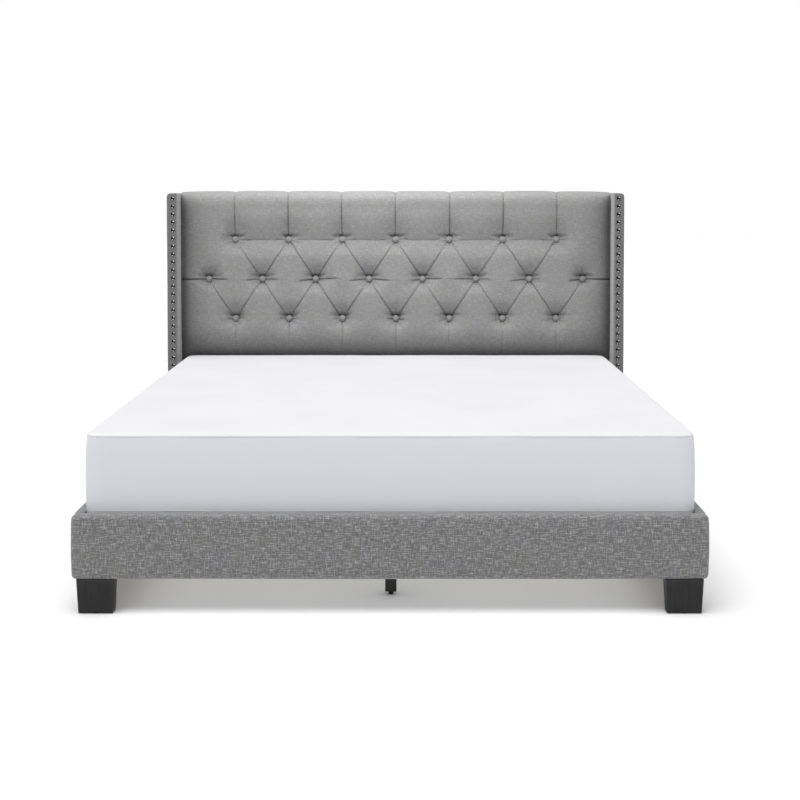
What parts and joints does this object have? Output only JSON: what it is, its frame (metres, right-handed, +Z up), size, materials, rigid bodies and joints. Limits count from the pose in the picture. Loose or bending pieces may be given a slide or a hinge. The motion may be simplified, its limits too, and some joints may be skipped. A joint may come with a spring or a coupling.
{
  "type": "upholstered bed",
  "caption": "King-size upholstered platform bed with a button-tufted winged headboard, nailhead trim, slats, centre support and a lift-off foam mattress.",
  "frame": {"origin": "on the floor, under the middle of the bed's overall footprint", "axes": "+Z up, -Y towards the foot end, +X to the right of someone who looks at the foot end"},
  "size_m": [2.1, 2.196, 1.326],
  "materials": {
    "heather_linen": "heather grey linen-look weave, matte",
    "polished_nails": "polished nickel",
    "black_wood": "black satin lacquer",
    "plywood": "raw plywood",
    "pine": "planed softwood",
    "foam": "open-cell foam",
    "dust_cloth": "black spunbonded cloth",
    "mattress_knit": "white stretch knit",
    "mattress_base_cloth": "grey non-slip cloth",
    "webbing": "black woven tape",
    "zinc_steel": "zinc plated",
    "black_steel": "black powder coat",
    "leveller_black": "black nylon",
    "nylon": "black nylon"
  },
  "bodies": {
    "bed_frame": {"centre_leg_1": "black_wood", "centre_leg_2": "black_wood", "centre_leg_3": "black_wood", "centre_rail": "black_steel", "centre_rail_brackets": "black_steel", "corner_brackets": "black_steel", "foot_front_left": "black_wood", "foot_front_right": "black_wood", "foot_glides": "nylon", "foot_rear_left": "black_wood", "foot_rear_right": "black_wood", "footboard_board": "pine", "footboard_cover": "heather_linen", "footboard_foam": "foam", "headboard_apron": "heather_linen", "headboard_bottom_rail": "pine", "headboard_button_ties": "webbing", "headboard_buttons": "heather_linen", "headboard_centre_stile": "pine", "headboard_cover": "heather_linen", "headboard_dust_cover": "dust_cloth", "headboard_foam": "foam", "headboard_panel": "plywood", "headboard_stiles": "pine", "headboard_top_rail": "pine", "leg_bolts": "zinc_steel", "rail_bolts": "zinc_steel", "side_rail_left_board": "pine", "side_rail_left_cover": "heather_linen", "side_rail_right_board": "pine", "side_rail_right_cover": "heather_linen", "slat_01": "pine", "slat_02": "pine", "slat_03": "pine", "slat_04": "pine", "slat_05": "pine", "slat_06": "pine", "slat_07": "pine", "slat_08": "pine", "slat_09": "pine", "slat_10": "pine", "slat_11": "pine", "slat_12": "pine", "slat_ledgers": "pine", "slat_screws": "zinc_steel", "slat_webbing": "webbing", "wing_bolts": "zinc_steel", "wing_left_board": "plywood", "wing_left_cover": "heather_linen", "wing_left_nailheads": "polished_nails", "wing_padding": "foam", "wing_right_board": "plywood", "wing_right_cover": "heather_linen", "wing_right_nailheads": "polished_nails"},
    "mattress": {"mattress_core": "foam", "mattress_cover": "mattress_knit", "mattress_bottom_panel": "mattress_base_cloth"},
    "leveller_1": {"leveller_1": "leveller_black"},
    "leveller_2": {"leveller_2": "leveller_black"},
    "leveller_3": {"leveller_3": "leveller_black"}
  },
  "joints": [
    {"name": "mattress_lift_off", "type": "slide", "parent": "bed_frame", "child": "mattress", "axis": [0, 0, 1], "range_m": [0, 0.4]},
    {"name": "leveller_1_screw", "type": "slide", "parent": "bed_frame", "child": "leveller_1", "axis": [0, 0, -1], "range_m": [-0.004, 0.015]},
    {"name": "leveller_2_screw", "type": "slide", "parent": "bed_frame", "child": "leveller_2", "axis": [0, 0, -1], "range_m": [-0.004, 0.015]},
    {"name": "leveller_3_screw", "type": "slide", "parent": "bed_frame", "child": "leveller_3", "axis": [0, 0, -1], "range_m": [-0.004, 0.015]}
  ]
}
